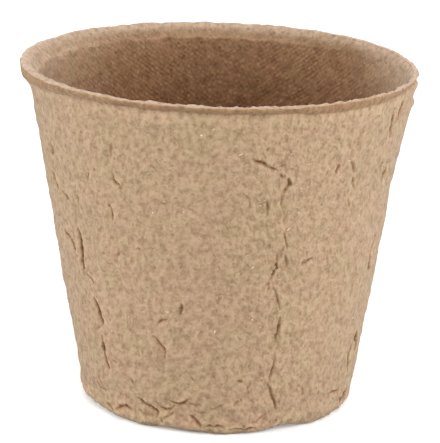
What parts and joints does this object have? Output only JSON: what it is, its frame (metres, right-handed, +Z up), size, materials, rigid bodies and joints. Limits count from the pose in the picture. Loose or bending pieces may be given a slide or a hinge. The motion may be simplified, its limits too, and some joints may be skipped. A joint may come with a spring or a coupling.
{
  "type": "peat pot",
  "caption": "Round tapered plant pot of pressed fibre pulp, with a flared lip, an open mouth and a drain hole in its raised floor.",
  "frame": {"origin": "centre of the base, on the surface that the pot stands on", "axes": "+Z up along the pot's axis and out of its mouth; X and Y lie in that surface, and the pot is the same all round"},
  "size_m": [0.08, 0.08, 0.07],
  "materials": {
    "moulded_fibre": "dry, rough and matt, with short fibres in it"
  },
  "bodies": {
    "root": {"pot": "moulded_fibre"}
  },
  "joints": []
}
